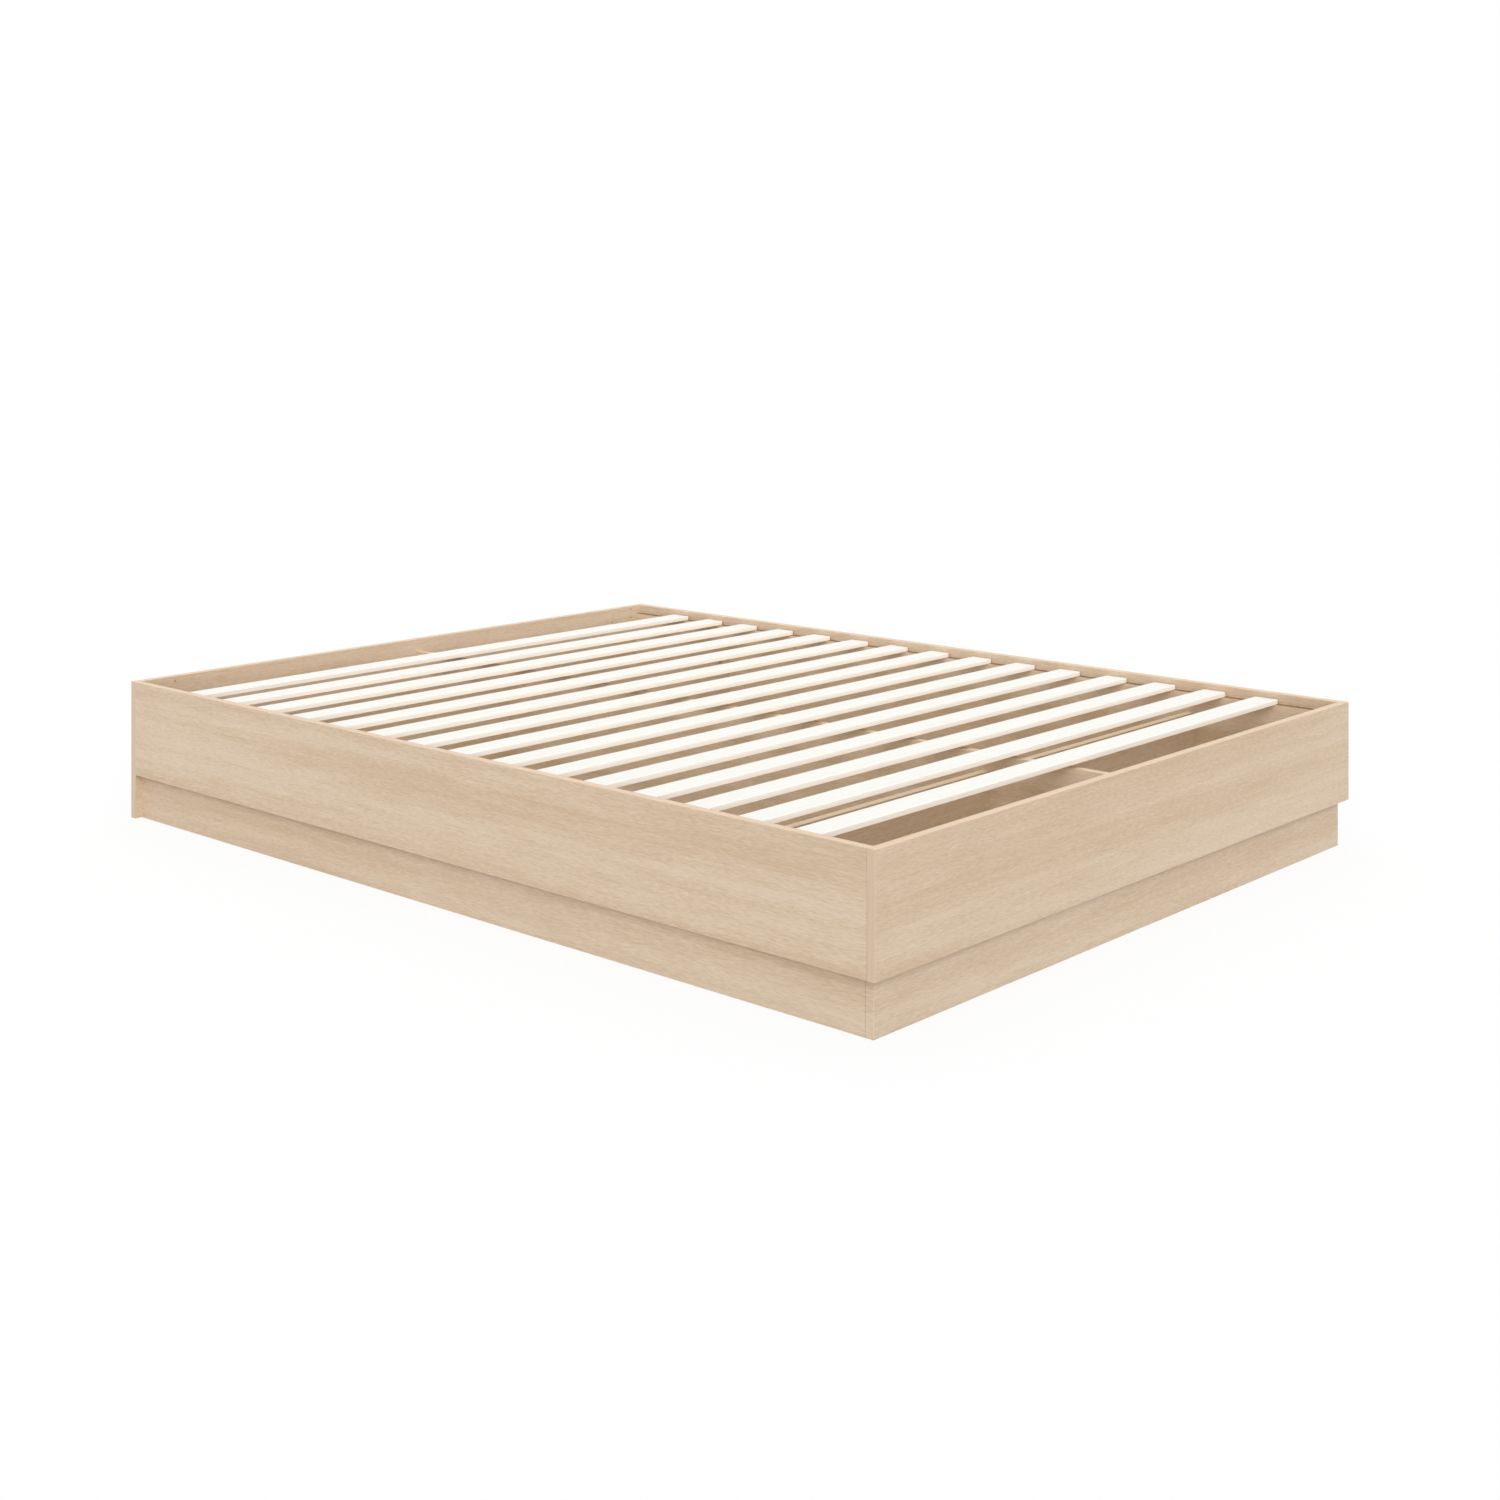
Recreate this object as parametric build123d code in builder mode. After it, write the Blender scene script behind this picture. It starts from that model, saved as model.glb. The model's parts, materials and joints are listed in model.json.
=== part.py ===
from build123d import *
import os

# Low platform bed: edge-banded boards over a set-back plinth, with a slatted base.
# X runs across the bed, +Y towards its head and +Z up. The origin is on the floor, at the middle.
# All sizes are in millimetres.

# Mattress recess, inside the rails and the end panels
inside_width = 1524.0
inside_length = 2032.0
lip = 11.5  # rail tops above the slat tops

# Boards
board = 16.0  # thickness of every board
edging = 1.0  # band glued on each edge that shows
arris = 0.6  # rounding along the band
frame_height = 295.0  # floor to the rail tops
plinth_height = 94.0  # plinth that shows under the rails
centre_drop = 8.0  # slats down to the centre panel
cross_drop = 41.0  # slats down to the cross panels
cross_inset = 309.0  # foot plinth board to the first cross panel
lap_gap = 0.3  # play at each side of a halved crossing

# Slats
slat_count = 15
slat_width = 54.0
slat_thickness = 9.5
slat_margin = 132.2  # end panels to the first and last slat
slat_end_gap = 4.0  # rails to the slat ends
slat_corner = 4.0  # rounding of the slat ends, seen from above
slat_round = 1.0  # rounding along the slat edges
slat_skin = 3.5  # slat left above a peg hole

# Headboard holes, two above two in the head panel
headboard_hole = 8.5
headboard_inset = 123.0  # panel ends to the holes
headboard_drop = 77.0  # panel top to the upper holes
headboard_rise = 106.0  # lower holes to the upper ones

# Cam bolts and cam discs
cam_edge = 45.0  # board edges to the cam bolts
cam_setback = 34.0  # joint face to the middle of the cam disc
cam = 15.0
cam_floor = 1.0  # disc left below the bolt head
cam_play = 0.3  # disc slot round the bolt head
cam_cross_length = 9.0
cam_cross_width = 1.6
cam_cross_depth = 1.5
bolt_thread = 6.0
bolt_shank = 5.5
bolt_neck = 4.0
bolt_neck_length = 6.0
bolt_head = 7.0
bolt_head_length = 4.0
bolt_bore = 8.0
bolt_skin = 5.0  # board left behind the thread

# Dowels, pegs and screws
dowel = 8.0
dowel_reach = 20.0  # into the board end
dowel_skin = 5.5  # board left behind the dowel
peg = 5.0
peg_reach = 12.0  # into the ledge
tip_chamfer = 0.8  # ends of dowels and pegs
screw = 4.0
screw_head = 8.0
screw_point = 3.0
screw_skin = 5.5  # board left behind the point
screw_cross_length = 5.0
screw_cross_width = 0.9
screw_cross_depth = 1.4
screw_edge = 30.0  # board edges to the screw rows
screw_end = 116.0  # board ends to the first screws
side_screw_columns = 5
foot_screw_columns = 4

# Fits
fit = 0.1  # hole wall to fastener
end_gap = 0.5  # hole bottom to fastener

# Places that follow from the sizes above
half_width = inside_width / 2
half_length = inside_length / 2
outside_half = half_width + board
rail_x = half_width + board / 2
support_x = half_width - board / 2
support_face = half_width - board
plinth_face = half_length - board
slat_top = frame_height - lip
support_height = slat_top - slat_thickness
centre_height = support_height - centre_drop
centre_length = half_length + plinth_face
centre_y = (half_length - plinth_face) / 2
cross_height = support_height - cross_drop
cross_y = plinth_face - cross_inset - board / 2
lap_height = cross_height / 2
slat_length = inside_width - 2 * slat_end_gap
slat_pitch = (inside_length - 2 * slat_margin - slat_width) / (slat_count - 1)
slat_rows = [-half_length + slat_margin + slat_width / 2 + i * slat_pitch for i in range(slat_count)]
peg_x = half_width - (board + slat_end_gap) / 2
peg_hole_in_slat = slat_thickness - slat_skin
headboard_x = outside_half - headboard_inset
headboard_z = frame_height - headboard_drop - headboard_rise / 2
cam_depth = board / 2 + bolt_head / 2 + cam_floor
thread_length = board - bolt_skin
dowel_in_face = board - dowel_skin
screw_bite = board - screw_skin
screw_rows = (plinth_height + screw_edge, support_height - screw_edge)

sides = {"left": -1, "right": 1}
ends = {"foot": -1, "head": 1}
standing = (Align.CENTER, Align.MIN)


def board_joint(x, y, into, cam_side, low, high):
    """Return the bolt planes and the dowel plane where one board's end butts on another's face.

    Each plane lies on the joint, its normal runs into the butting board, and its x axis
    points out of the face that holds the cam disc.
    """
    bolts = [Plane((x, y, z), x_dir=cam_side, z_dir=into) for z in (low + cam_edge, high - cam_edge)]
    dowels = [Plane((x, y, (low + high) / 2), x_dir=cam_side, z_dir=into)]
    return bolts, dowels


def cam_plane(bolt):
    """Return the plane of a cam disc's outer face, with x pointing away from the joint."""
    centre = bolt.origin + bolt.z_dir * cam_setback + bolt.x_dir * (board / 2)
    return Plane(centre, x_dir=bolt.z_dir, z_dir=bolt.x_dir)


def screw_row_planes(start, step, columns, facing):
    """Return planes for two rows of screws, facing out of the board that holds their heads."""
    return [
        Plane((start[0] + i * step[0], start[1] + i * step[1], z), x_dir=(0, 0, 1), z_dir=facing)
        for i in range(columns)
        for z in screw_rows
    ]


# Joints between the boards
rail_joints = {}
support_joints = {}
for side, s in sides.items():
    inward = (-s, 0, 0)
    rail_joints[side, "head"] = board_joint(
        s * rail_x, half_length, (0, -1, 0), inward, plinth_height, frame_height
    )
    rail_joints[side, "foot"] = board_joint(
        s * rail_x, -half_length, (0, 1, 0), inward, plinth_height, frame_height
    )
    support_joints[side, "head"] = board_joint(
        s * support_x, half_length, (0, -1, 0), inward, 0, support_height
    )
    support_joints[side, "foot"] = board_joint(
        s * support_x, -plinth_face, (0, 1, 0), inward, 0, support_height
    )
centre_joints = {
    "head": board_joint(0, half_length, (0, -1, 0), (1, 0, 0), 0, centre_height),
    "foot": board_joint(0, -plinth_face, (0, 1, 0), (1, 0, 0), 0, centre_height),
}
cross_joints = {
    (end, side): board_joint(s * support_face, e * cross_y, (-s, 0, 0), (0, -e, 0), 0, cross_height)
    for end, e in ends.items()
    for side, s in sides.items()
}
all_joints = [
    joint
    for group in (rail_joints, support_joints, centre_joints, cross_joints)
    for joint in group.values()
]
bolt_planes = [plane for bolts, dowels in all_joints for plane in bolts]
dowel_planes = [plane for bolts, dowels in all_joints for plane in dowels]

# Screws from the inside: side plinth boards to rails, foot plinth board to foot panel
side_screw_start = -half_length + screw_end
side_screw_step = -2 * side_screw_start / (side_screw_columns - 1)
side_screws = {
    side: screw_row_planes(
        (s * support_face, side_screw_start), (0, side_screw_step), side_screw_columns, (-s, 0, 0)
    )
    for side, s in sides.items()
}
foot_screw_start = -half_width + screw_end
foot_screw_step = -2 * foot_screw_start / (foot_screw_columns - 1)
foot_screws = screw_row_planes(
    (foot_screw_start, -plinth_face), (foot_screw_step, 0), foot_screw_columns, (0, 1, 0)
)
side_screw_planes = [plane for planes in side_screws.values() for plane in planes]
peg_planes = {
    side: [Plane((s * peg_x, y, support_height)) for y in slat_rows] for side, s in sides.items()
}

os.makedirs("parts", exist_ok=True)


def save(piece, name):
    """Label a finished piece and write it to its own file."""
    piece.part.label = name
    export_step(piece.part, f"parts/{name}.step")


def drill_face(*joints):
    """Drill the board that others butt on, for their bolt threads and dowels."""
    for bolts, dowels in joints:
        with Locations(*bolts):
            Hole(bolt_thread / 2 + fit, thread_length + end_gap)
        with Locations(*dowels):
            Hole(dowel / 2 + fit, dowel_in_face + end_gap)


def drill_end(*joints):
    """Drill a butting board's end for bolts and dowels, and its face for the cam discs."""
    for bolts, dowels in joints:
        with Locations(*[-plane for plane in bolts]):
            Hole(bolt_bore / 2, cam_setback)
        with Locations(*[cam_plane(plane) for plane in bolts]):
            Hole(cam / 2 + fit, cam_depth + fit)
        with Locations(*[-plane for plane in dowels]):
            Hole(dowel / 2 + fit, dowel_reach + end_gap)


def drill_screw_heads(planes):
    """Drill and countersink the board that the screws pass through."""
    with Locations(*planes):
        CounterSinkHole(screw / 2 + fit, screw_head / 2 + fit, board, counter_sink_angle=90)


def drill_screw_points(planes):
    """Drill the board that the screws bite into, measured from the face that holds their heads."""
    with Locations(*planes):
        Hole(screw / 2 + fit, board + screw_bite + end_gap)


def edge_band(name, plane, length):
    """Make the band on one board edge; the plane lies on the edge, facing out, with x along it."""
    with BuildPart() as band:
        with BuildSketch(plane):
            Rectangle(length, board)
        extrude(amount=edging)
        outer_face = band.faces().sort_by(Axis(plane.origin, plane.z_dir))[-1]
        fillet(outer_face.edges().sort_by(SortBy.LENGTH)[-2:], arris)
    save(band, name)


# Head panel, down to the floor
with BuildPart() as head_panel:
    with BuildSketch(Plane.XZ.offset(-half_length)):
        Rectangle(2 * (outside_half - edging), frame_height - edging, align=standing)
        with Locations((0, headboard_z)):
            with GridLocations(2 * headboard_x, headboard_rise, 2, 2):
                Circle(headboard_hole / 2, mode=Mode.SUBTRACT)
    extrude(amount=-board)
    drill_face(rail_joints["left", "head"], rail_joints["right", "head"])
    drill_face(support_joints["left", "head"], support_joints["right", "head"], centre_joints["head"])
save(head_panel, "head_panel")

# Foot panel, above the plinth
with BuildPart() as foot_panel:
    with BuildSketch(Plane.XZ.offset(half_length)):
        with Locations((0, plinth_height + edging)):
            Rectangle(
                2 * (outside_half - edging), frame_height - plinth_height - 2 * edging, align=standing
            )
    extrude(amount=board)
    drill_face(rail_joints["left", "foot"], rail_joints["right", "foot"])
    drill_screw_points(foot_screws)
save(foot_panel, "foot_panel")

# Side rails, between the end panels
for side, s in sides.items():
    with BuildPart() as rail:
        with BuildSketch(Plane.YZ.offset(s * rail_x)):
            with Locations((0, plinth_height + edging)):
                Rectangle(inside_length, frame_height - plinth_height - 2 * edging, align=standing)
        extrude(amount=board / 2, both=True)
        drill_end(rail_joints[side, "head"], rail_joints[side, "foot"])
        drill_screw_points(side_screws[side])
    save(rail, f"{side}_rail")

# Side plinth boards, whose top edges are the slat ledges
for side, s in sides.items():
    with BuildPart() as support_board:
        with BuildSketch(Plane.YZ.offset(s * support_x)):
            with Locations((centre_y, 0)):
                Rectangle(centre_length, support_height, align=standing)
        extrude(amount=board / 2, both=True)
        drill_end(support_joints[side, "head"], support_joints[side, "foot"])
        drill_face(cross_joints["foot", side], cross_joints["head", side])
        drill_screw_heads(side_screws[side])
        with Locations(*peg_planes[side]):
            Hole(peg / 2 + fit, peg_reach + end_gap)
    save(support_board, f"{side}_support_board")

# Foot plinth board, behind the foot panel
with BuildPart() as foot_plinth_board:
    with BuildSketch(Plane.XZ.offset(plinth_face)):
        Rectangle(2 * (half_width - edging), support_height, align=standing)
    extrude(amount=board)
    drill_face(support_joints["left", "foot"], support_joints["right", "foot"], centre_joints["foot"])
    drill_screw_heads(foot_screws)
save(foot_plinth_board, "foot_plinth_board")

# Centre panel, slotted from below over the cross panels
with BuildPart() as centre_panel:
    with BuildSketch(Plane.YZ):
        with Locations((centre_y, 0)):
            Rectangle(centre_length, centre_height - edging, align=standing)
        with Locations((-cross_y, 0), (cross_y, 0)):
            Rectangle(board + 2 * lap_gap, lap_height, align=standing, mode=Mode.SUBTRACT)
    extrude(amount=board / 2, both=True)
    drill_end(centre_joints["head"], centre_joints["foot"])
save(centre_panel, "centre_panel")

# Cross panels, slotted from above for the centre panel
for end, e in ends.items():
    with BuildPart() as cross_panel:
        with BuildSketch(Plane.XZ.offset(-e * cross_y)):
            Rectangle(2 * support_face, cross_height - edging, align=standing)
            with Locations((0, lap_height)):
                Rectangle(board + 2 * lap_gap, cross_height, align=standing, mode=Mode.SUBTRACT)
        extrude(amount=board / 2, both=True)
        drill_end(cross_joints[end, "left"], cross_joints[end, "right"])
    save(cross_panel, f"{end}_cross_panel")

# Bands on the long edges of the end panels
top_edge = frame_height - edging
bottom_edge = plinth_height + edging
panel_y = half_length + board / 2
edge_band("head_panel_top_band", Plane((0, panel_y, top_edge)), 2 * outside_half)
edge_band("foot_panel_top_band", Plane((0, -panel_y, top_edge)), 2 * outside_half)
edge_band(
    "foot_panel_bottom_band", Plane((0, -panel_y, bottom_edge), z_dir=(0, 0, -1)), 2 * outside_half
)

# Bands on the upright ends of the end panels and the foot plinth, and along the rails
for side, s in sides.items():
    end_x = s * (outside_half - edging)
    head_end = Plane((end_x, panel_y, top_edge / 2), x_dir=(0, 0, 1), z_dir=(s, 0, 0))
    edge_band(f"head_panel_{side}_band", head_end, top_edge)
    foot_end = Plane(
        (end_x, -panel_y, (bottom_edge + top_edge) / 2), x_dir=(0, 0, 1), z_dir=(s, 0, 0)
    )
    edge_band(f"foot_panel_{side}_band", foot_end, top_edge - bottom_edge)
    plinth_end = Plane(
        (s * (half_width - edging), -plinth_face - board / 2, support_height / 2),
        x_dir=(0, 0, 1),
        z_dir=(s, 0, 0),
    )
    edge_band(f"foot_plinth_{side}_band", plinth_end, support_height)
    rail_top = Plane((s * rail_x, 0, top_edge), x_dir=(0, 1, 0), z_dir=(0, 0, 1))
    edge_band(f"{side}_rail_top_band", rail_top, inside_length)
    rail_bottom = Plane((s * rail_x, 0, bottom_edge), x_dir=(0, 1, 0), z_dir=(0, 0, -1))
    edge_band(f"{side}_rail_bottom_band", rail_bottom, inside_length)

# Bands on the tops of the inner panels
centre_top = Plane((0, centre_y, centre_height - edging), x_dir=(0, 1, 0), z_dir=(0, 0, 1))
edge_band("centre_panel_top_band", centre_top, centre_length)
slot_side = board / 2 + lap_gap
for end, e in ends.items():
    for side, s in sides.items():
        cross_top = Plane((s * (support_face + slot_side) / 2, e * cross_y, cross_height - edging))
        edge_band(f"{end}_cross_{side}_band", cross_top, support_face - slot_side)

# Slats, numbered from the foot
for number, y in enumerate(slat_rows, start=1):
    with BuildPart() as slat:
        with BuildSketch(Plane((0, y, support_height))):
            RectangleRounded(slat_length, slat_width, slat_corner)
        extrude(amount=slat_thickness)
        fillet(slat.faces().filter_by(Axis.Z).edges(), slat_round)
        with Locations(*[-planes[number - 1] for planes in peg_planes.values()]):
            Hole(peg / 2 + fit, peg_hole_in_slat)
    save(slat, f"slat_{number:02d}")

# Cam bolts, threaded into the face boards
bolt_end = cam_setback + bolt_head_length / 2
bolt_head_start = bolt_end - bolt_head_length
bolt_neck_start = bolt_head_start - bolt_neck_length
with BuildPart() as cam_bolt:
    with BuildSketch(Plane.XZ):
        with BuildLine():
            Polyline(
                (0, -thread_length),
                (bolt_thread / 2, -thread_length),
                (bolt_thread / 2, 0),
                (bolt_shank / 2, 0),
                (bolt_shank / 2, bolt_neck_start),
                (bolt_neck / 2, bolt_neck_start),
                (bolt_neck / 2, bolt_head_start),
                (bolt_head / 2, bolt_head_start),
                (bolt_head / 2, bolt_end),
                (0, bolt_end),
                close=True,
            )
        make_face()
    revolve(axis=Axis.Z)
with BuildPart() as cam_bolts:
    with Locations(*bolt_planes):
        add(cam_bolt.part)
save(cam_bolts, "cam_bolts")

# Cam discs, slotted for the bolt heads and cross-slotted for a screwdriver
slot_width = bolt_head + 2 * cam_play
with BuildPart() as cam_disc:
    with BuildSketch():
        Circle(cam / 2)
    extrude(amount=-cam_depth)
    with BuildSketch(Plane.XY.offset(-board / 2 - slot_width / 2)):
        with Locations((bolt_head_length / 2 + cam_play, 0)):
            Rectangle(cam, slot_width, align=(Align.MAX, Align.CENTER))
    extrude(amount=slot_width, mode=Mode.SUBTRACT)
    with BuildSketch():
        Rectangle(cam_cross_length, cam_cross_width)
        Rectangle(cam_cross_width, cam_cross_length)
    extrude(amount=-cam_cross_depth, mode=Mode.SUBTRACT)
with BuildPart() as cam_discs:
    with Locations(*[cam_plane(plane) for plane in bolt_planes]):
        add(cam_disc.part)
save(cam_discs, "cam_discs")

# Dowels, half in each board
with BuildPart() as single_dowel:
    with BuildSketch(Plane.XY.offset(-dowel_in_face)):
        Circle(dowel / 2)
    extrude(amount=dowel_in_face + dowel_reach)
    chamfer(single_dowel.edges().filter_by(GeomType.CIRCLE), tip_chamfer)
with BuildPart() as dowels:
    with Locations(*dowel_planes):
        add(single_dowel.part)
save(dowels, "dowels")

# Slat pegs, standing in the ledges
with BuildPart() as single_peg:
    with BuildSketch(Plane.XY.offset(-peg_reach)):
        Circle(peg / 2)
    extrude(amount=peg_reach + peg_hole_in_slat - end_gap)
    chamfer(single_peg.edges().filter_by(GeomType.CIRCLE), tip_chamfer)
with BuildPart() as slat_pegs:
    with Locations(*peg_planes["left"], *peg_planes["right"]):
        add(single_peg.part)
save(slat_pegs, "slat_pegs")

# Countersunk screws, head flush with the board's face
screw_end_z = -(board + screw_bite)
with BuildPart() as single_screw:
    with BuildSketch(Plane.XZ):
        with BuildLine():
            Polyline(
                (0, 0),
                (screw_head / 2, 0),
                (screw / 2, -(screw_head - screw) / 2),
                (screw / 2, screw_end_z + screw_point),
                (0, screw_end_z),
                close=True,
            )
        make_face()
    revolve(axis=Axis.Z)
    with BuildSketch():
        Rectangle(screw_cross_length, screw_cross_width)
        Rectangle(screw_cross_width, screw_cross_length)
    extrude(amount=-screw_cross_depth, mode=Mode.SUBTRACT)
for name, planes in (("side_plinth_screws", side_screw_planes), ("foot_plinth_screws", foot_screws)):
    with BuildPart() as screws:
        with Locations(*planes):
            add(single_screw.part)
    save(screws, name)
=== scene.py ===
import json
import math

import bmesh
import bpy
from bpy.props import FloatProperty, FloatVectorProperty, IntProperty, PointerProperty
from mathutils import Matrix, Vector


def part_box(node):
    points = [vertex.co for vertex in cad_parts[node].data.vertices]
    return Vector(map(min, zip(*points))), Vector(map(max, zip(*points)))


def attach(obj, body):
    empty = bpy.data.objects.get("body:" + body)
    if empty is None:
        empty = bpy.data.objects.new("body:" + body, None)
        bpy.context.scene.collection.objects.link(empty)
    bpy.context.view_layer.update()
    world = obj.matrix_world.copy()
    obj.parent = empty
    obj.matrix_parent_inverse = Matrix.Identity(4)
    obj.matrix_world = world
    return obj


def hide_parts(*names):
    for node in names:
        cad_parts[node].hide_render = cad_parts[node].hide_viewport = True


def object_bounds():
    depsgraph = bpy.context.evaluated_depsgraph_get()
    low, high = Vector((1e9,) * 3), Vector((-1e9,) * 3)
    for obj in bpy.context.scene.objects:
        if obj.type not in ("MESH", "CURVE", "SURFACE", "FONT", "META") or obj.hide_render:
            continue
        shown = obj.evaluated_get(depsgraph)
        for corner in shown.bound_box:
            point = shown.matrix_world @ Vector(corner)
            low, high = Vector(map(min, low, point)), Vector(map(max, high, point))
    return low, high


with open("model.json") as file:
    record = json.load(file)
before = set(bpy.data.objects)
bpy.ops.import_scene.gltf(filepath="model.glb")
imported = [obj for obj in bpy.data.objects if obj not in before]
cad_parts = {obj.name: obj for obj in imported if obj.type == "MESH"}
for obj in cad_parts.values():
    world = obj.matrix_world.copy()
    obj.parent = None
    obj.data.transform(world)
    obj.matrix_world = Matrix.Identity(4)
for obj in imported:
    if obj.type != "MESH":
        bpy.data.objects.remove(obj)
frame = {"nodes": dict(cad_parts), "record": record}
cad_low, cad_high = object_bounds()

bl_info = {
    "name": "Platform bed frame",
    "version": (1, 0, 0),
    "blender": (4, 5, 0),
    "location": "View3D > Sidebar > Bed",
    "description": "Finishes a low bed frame of light oak boards with a slatted base",
    "category": "Object",
}

MM = 0.001
WHITE = (1, 1, 1, 1)

# Turns that lay a pattern's first axis along X, Y or Z
ALONG_X = (0.0, 0.0, 0.0)
ALONG_Y = (0.0, 0.0, -math.pi / 2)
ALONG_Z = (0.0, math.pi / 2, 0.0)
ALONG = (ALONG_X, ALONG_Y, ALONG_Z)

# Place on the printed sheet, in metres across its bands, that each board was cut from
CUTS = {
    "head_panel": 1.3,
    "foot_panel": 4.612,
    "left_rail": 10.06,
    "right_rail": 2.7,
    # The cuts of the left support board and the foot plinth board bring a pale band to the lower
    # plinth: painted light, for the brighter foot of the plinth
    "left_support_board": 5.952,
    "right_support_board": 3.9,
    "foot_plinth_board": 3.172,
    "centre_panel": 1.1,
    "foot_cross_panel": 2.1,
    "head_cross_panel": 5.3,
}

# How much each pattern of the print counts in its tone
BAND_WEIGHT = 1.50
STREAK_WEIGHT = 0.64
FIBRE_WEIGHT = 0.60
PORE_WEIGHT = 1.75

# Pin knots of the print, as metres along a board and above the floor
KNOTS = {"head_panel": ((-0.680, 0.284), (0.656, 0.261), (0.725, 0.288), (0.725, 0.265))}
# Share of a knot's width that is its core, and how far the core covers the print
KNOT_CORE = 0.3
KNOT_COVER = 0.8

# Wood chips of a board: their size along it, through its thickness and up it
CHIP_SIZE = (5 * MM, 1.4 * MM, 3 * MM)
# A face is printed where its normal follows the board's thickness by more than this cosine
FACED_COSINE = 0.7

# Gloss of the melamine on faces and edges, and roughness of bare chips
SATIN_ROUGHNESS = 0.48
SATIN_SPECULAR = 0.35
BARE_ROUGHNESS = 0.95

# Attribute that keeps a turned fitting's own coordinates, its axis along Z
TURNED_PLACE = "turned_place"
# Points of a fitting nearer than this are one, and edges sharper than this stay crisp
SAME_POINT = MM / 1000
CRISP_ANGLE = math.radians(35)
# Sides of a turned bolt and screw
BOLT_SIDES = 24
SCREW_SIDES = 20
# Share of its pitch that a thread's foot takes
THREAD_FOOT = 0.6
# How far a thread is sunk in its core, and how far below the shank and into the tip it
# begins and ends, in millimetres
THREAD_SUNK = 0.1
THREAD_RUN = 0.4
# Share of its width that a cross recess keeps at its floor
RECESS_TAPER = 0.7

# Stage, in metres: the floor's width, the height of the lamps, and the place of the fill
# lamp above the floor and in from the sides
FLOOR_SIZE = 60
LAMP_HEIGHT = 3
FILL_HEIGHT = 0.01
FILL_INSET = 0.05
# Turn of the lamp that shines from the near corner
KEY_HEADING = -math.pi / 4


def linear(hex_colour):
    """Turn an sRGB hex colour into linear red, green, blue and alpha."""
    channels = [int(hex_colour[i:i + 2], 16) / 255 for i in (1, 3, 5)]
    return [c / 12.92 if c <= 0.04045 else ((c + 0.055) / 1.055) ** 2.4 for c in channels] + [1.0]


def add_node(tree, kind, inputs=None, **settings):
    """Add a node, set its options, then give each input a value or link an output to it."""
    node = tree.nodes.new(kind)
    for name, value in settings.items():
        setattr(node, name, value)
    sockets = {socket.identifier: socket for socket in node.inputs}
    for name, value in (inputs or {}).items():
        if isinstance(value, bpy.types.NodeSocket):
            tree.links.new(value, sockets[name])
        else:
            sockets[name].default_value = value
    return node


def new_material(name):
    """Start a material with an empty node tree."""
    material = bpy.data.materials.new(name)
    material.use_nodes = True
    material.node_tree.nodes.clear()
    return material


def streaks(tree, vector, length, width, slant=0.0):
    """Add soft streaks of one real size along the first axis, and return their strength."""
    stretched = add_node(tree, "ShaderNodeMapping", {
        "Vector": vector,
        "Rotation": (0.0, slant, 0.0),
        "Scale": (1 / length, 1 / width, 1 / width),
    })
    noise = add_node(tree, "ShaderNodeTexNoise", {
        "Vector": stretched.outputs["Vector"], "Scale": 1.0, "Detail": 1.0,
    })
    return noise.outputs["Fac"]


def weighted_tone(tree, parts):
    """Add up streaks by their weights into one tone about a half."""
    tone = 0.5 - sum(weight for weight, _ in parts) / 2
    for weight, strength in parts:
        tone = add_node(tree, "ShaderNodeMath", {
            "Value": strength, "Value_001": weight, "Value_002": tone,
        }, operation="MULTIPLY_ADD").outputs["Value"]
    return tone


def dress(nodes, material):
    """Give every face of the named nodes one material."""
    for name in nodes:
        mesh = frame["nodes"][name].data
        mesh.materials.clear()
        mesh.materials.append(material)


def nodes_in_slot(slot):
    """Return the nodes that take one material slot of the record."""
    return [part["node"] for part in frame["record"]["subparts"] if part["material_slot"] == slot]


def long_and_thin(name):
    """Return the axes, as 0, 1 or 2, of a node's longest and shortest side."""
    low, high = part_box(name)
    size = list(high - low)
    return size.index(max(size)), size.index(min(size))


def dress_boards(slot, settings):
    """Give each board of a slot its own cut of the printed sheet, grain along its length."""
    for name in nodes_in_slot(slot):
        dress([name], light_oak_laminate(name, settings))


def solids_of(node):
    """Return the corner points of each separate solid of a node, in the mesh's own order."""
    mesh = bmesh.new()
    mesh.from_mesh(frame["nodes"][node].data)
    bmesh.ops.remove_doubles(mesh, verts=mesh.verts[:], dist=SAME_POINT)
    found = set()
    solids = []
    for first in mesh.verts:
        if first in found:
            continue
        found.add(first)
        solid = [first]
        for vert in solid:  # which grows by the neighbours of each
            for edge in vert.link_edges:
                other = edge.other_vert(vert)
                if other not in found:
                    found.add(other)
                    solid.append(other)
        solids.append([vert.co.copy() for vert in solid])
    mesh.free()
    return solids


def turned_frame(points):
    """Return the matrix that stands +Z on a turned solid's widest end, and the solid's length."""
    low = Vector([min(column) for column in zip(*points)])
    high = Vector([max(column) for column in zip(*points)])
    middle = (low + high) / 2
    size = list(high - low)
    axis = size.index(max(size))
    along = Vector([float(i == axis) for i in range(3)])
    widest = max(points, key=lambda point: (point - middle).cross(along).length)
    if widest[axis] < middle[axis]:
        along = -along
    turn = Vector((0, 0, 1)).rotation_difference(along).to_matrix().to_4x4()
    return Matrix.Translation(middle + along * size[axis] / 2) @ turn, size[axis]


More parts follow.
